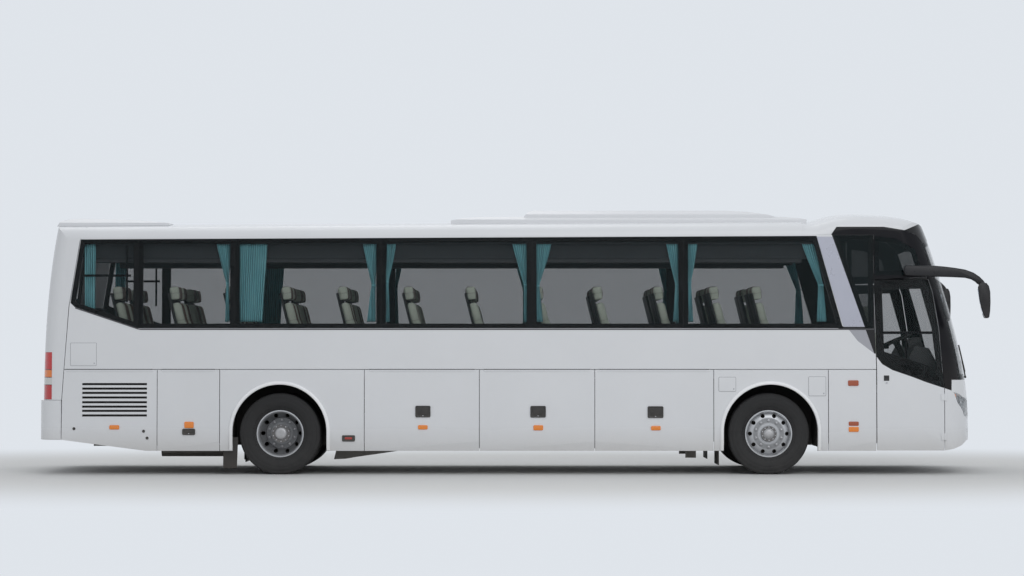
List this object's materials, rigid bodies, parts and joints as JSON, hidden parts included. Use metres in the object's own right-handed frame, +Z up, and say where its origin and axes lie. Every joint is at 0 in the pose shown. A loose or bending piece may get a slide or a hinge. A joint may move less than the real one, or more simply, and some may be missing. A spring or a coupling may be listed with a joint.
{
  "type": "coach bus",
  "caption": "White two-axle coach with a flush glazed side, luggage doors, rear engine, roof air unit, steered front wheels and twin rear wheels.",
  "frame": {"origin": "on the ground under the middle of the overall length and width", "axes": "+X forwards, +Y to the coach's left, +Z up"},
  "size_m": [12.074, 2.95, 3.374],
  "materials": {
    "body_white": "gloss white coach paint",
    "fin_silver": "silver-grey paint",
    "pillar_black": "gloss black",
    "screen_glass": "clear with a light tint",
    "tinted_glass": "dark tint",
    "headlamp_clear": "clear lens",
    "tail_lamp_red": "red lens",
    "mirror_black": "black housing",
    "wiper_black": "satin black",
    "underbody_paint": "chassis black",
    "engine_grey": "painted iron",
    "tank_metal": "dull steel",
    "floor_covering": "hard-wearing floor covering",
    "bay_lining": "sheet lining",
    "wheel_house_black": "textured black",
    "seat_cloth": "sage plush",
    "rack_grey": "light grey trim",
    "curtain_cloth": "turquoise pleated curtain",
    "cab_grey": "dark grey moulding",
    "arm_steel": "plated steel",
    "knuckle_iron": "forged steel",
    "tyre_rubber": "black rubber",
    "rim_silver": "silver paint"
  },
  "bodies": {
    "coach": {"chassis": "underbody_paint", "axles": "underbody_paint", "engine": "engine_grey", "tanks_and_exhaust": "tank_metal", "floor": "floor_covering", "steps": "floor_covering", "luggage_bay": "bay_lining", "wheel_houses": "wheel_house_black", "side_wall_right": "body_white", "side_wall_left": "body_white", "skirt_right": "body_white", "skirt_left": "body_white", "roof": "body_white", "roof_dome": "body_white", "rear_cap": "body_white", "rear_bumper": "body_white", "front_panel": "body_white", "front_pillars": "pillar_black", "windscreen": "screen_glass", "windows": "tinted_glass", "fin_posts": "fin_silver", "headlamps": "headlamp_clear", "tail_lamps": "tail_lamp_red", "roof_air_unit": "body_white", "roof_fairing": "body_white", "mirrors": "mirror_black", "wipers": "wiper_black", "seats_right": "seat_cloth", "seats_left": "seat_cloth", "luggage_racks": "rack_grey", "curtains": "curtain_cloth", "driver_station": "cab_grey"},
    "engine_flap_right": {"engine_flap_right": "body_white"},
    "service_flap_right": {"service_flap_right": "body_white"},
    "luggage_door_1_right": {"luggage_door_1_right": "body_white"},
    "luggage_door_2_right": {"luggage_door_2_right": "body_white"},
    "luggage_door_3_right": {"luggage_door_3_right": "body_white"},
    "engine_flap_left": {"engine_flap_left": "body_white"},
    "service_flap_left": {"service_flap_left": "body_white"},
    "luggage_door_1_left": {"luggage_door_1_left": "body_white"},
    "luggage_door_2_left": {"luggage_door_2_left": "body_white"},
    "luggage_door_3_left": {"luggage_door_3_left": "body_white"},
    "engine_lid": {"engine_lid": "body_white"},
    "driver_door": {"driver_door": "body_white", "driver_door_glass": "tinted_glass"},
    "door_arm": {"door_arm": "arm_steel"},
    "passenger_door": {"passenger_door": "body_white", "passenger_door_glass": "tinted_glass"},
    "knuckle_right": {"knuckle_right": "knuckle_iron"},
    "knuckle_left": {"knuckle_left": "knuckle_iron"},
    "front_wheel_right": {"front_tyre_right": "tyre_rubber", "front_rim_right": "rim_silver"},
    "rear_wheels_right": {"rear_tyres_right": "tyre_rubber", "rear_rims_right": "rim_silver"},
    "front_wheel_left": {"front_tyre_left": "tyre_rubber", "front_rim_left": "rim_silver"},
    "rear_wheels_left": {"rear_tyres_left": "tyre_rubber", "rear_rims_left": "rim_silver"}
  },
  "joints": [
    {"name": "engine_flap_right_hinge", "type": "hinge", "parent": "coach", "child": "engine_flap_right", "pos_m": [-5.07, -1.254, 1.33], "axis": [-1, 0, 0], "range_deg": [0, 95]},
    {"name": "service_flap_right_hinge", "type": "hinge", "parent": "coach", "child": "service_flap_right", "pos_m": [-4.07, -1.254, 1.33], "axis": [-1, 0, 0], "range_deg": [0, 95]},
    {"name": "luggage_door_1_right_hinge", "type": "hinge", "parent": "coach", "child": "luggage_door_1_right", "pos_m": [-1.12, -1.254, 1.33], "axis": [-1, 0, 0], "range_deg": [0, 95]},
    {"name": "luggage_door_2_right_hinge", "type": "hinge", "parent": "coach", "child": "luggage_door_2_right", "pos_m": [0.335, -1.254, 1.33], "axis": [-1, 0, 0], "range_deg": [0, 95]},
    {"name": "luggage_door_3_right_hinge", "type": "hinge", "parent": "coach", "child": "luggage_door_3_right", "pos_m": [1.82, -1.254, 1.33], "axis": [-1, 0, 0], "range_deg": [0, 95]},
    {"name": "engine_flap_left_hinge", "type": "hinge", "parent": "coach", "child": "engine_flap_left", "pos_m": [-5.07, 1.254, 1.33], "axis": [1, 0, 0], "range_deg": [0, 95]},
    {"name": "service_flap_left_hinge", "type": "hinge", "parent": "coach", "child": "service_flap_left", "pos_m": [-4.07, 1.254, 1.33], "axis": [1, 0, 0], "range_deg": [0, 95]},
    {"name": "luggage_door_1_left_hinge", "type": "hinge", "parent": "coach", "child": "luggage_door_1_left", "pos_m": [-1.12, 1.254, 1.33], "axis": [1, 0, 0], "range_deg": [0, 95]},
    {"name": "luggage_door_2_left_hinge", "type": "hinge", "parent": "coach", "child": "luggage_door_2_left", "pos_m": [0.335, 1.254, 1.33], "axis": [1, 0, 0], "range_deg": [0, 95]},
    {"name": "luggage_door_3_left_hinge", "type": "hinge", "parent": "coach", "child": "luggage_door_3_left", "pos_m": [1.82, 1.254, 1.33], "axis": [1, 0, 0], "range_deg": [0, 95]},
    {"name": "engine_lid_hinge", "type": "hinge", "parent": "coach", "child": "engine_lid", "pos_m": [-5.9697, 0, 2.085], "axis": [0, 1, 0], "range_deg": [0, 80]},
    {"name": "driver_door_hinge", "type": "hinge", "parent": "coach", "child": "driver_door", "pos_m": [5.49, -1.256, 0.73], "axis": [0, 0, 1], "range_deg": [0, 75]},
    {"name": "door_arm_swing", "type": "hinge", "parent": "coach", "child": "door_arm", "pos_m": [5.33, 1.11, 1], "axis": [0, 0, -1], "range_deg": [0, 115]},
    {"name": "passenger_door_turn", "type": "hinge", "parent": "door_arm", "child": "passenger_door", "pos_m": [4.81022, 1.125, 1], "axis": [0, 0, -1], "range_deg": [-115, 0]},
    {"name": "steer_right", "type": "hinge", "parent": "coach", "child": "knuckle_right", "pos_m": [3.27, -0.9, 0.515], "axis": [0, 0, 1], "range_deg": [-38, 38]},
    {"name": "steer_left", "type": "hinge", "parent": "coach", "child": "knuckle_left", "pos_m": [3.27, 0.9, 0.515], "axis": [0, 0, 1], "range_deg": [-38, 38]},
    {"name": "front_wheel_right_roll", "type": "hinge", "parent": "knuckle_right", "child": "front_wheel_right", "pos_m": [3.27, -1.06, 0.515], "axis": [0, 1, 0], "continuous": true},
    {"name": "rear_wheels_right_roll", "type": "hinge", "parent": "coach", "child": "rear_wheels_right", "pos_m": [-2.92, -0.89, 0.515], "axis": [0, 1, 0], "continuous": true},
    {"name": "front_wheel_left_roll", "type": "hinge", "parent": "knuckle_left", "child": "front_wheel_left", "pos_m": [3.27, 1.06, 0.515], "axis": [0, 1, 0], "continuous": true},
    {"name": "rear_wheels_left_roll", "type": "hinge", "parent": "coach", "child": "rear_wheels_left", "pos_m": [-2.92, 0.89, 0.515], "axis": [0, 1, 0], "continuous": true}
  ],
  "couplings": [
    {"joint": "passenger_door_turn", "follows": "door_arm_swing", "ratio": -1},
    {"joint": "steer_left", "follows": "steer_right", "ratio": 1}
  ]
}
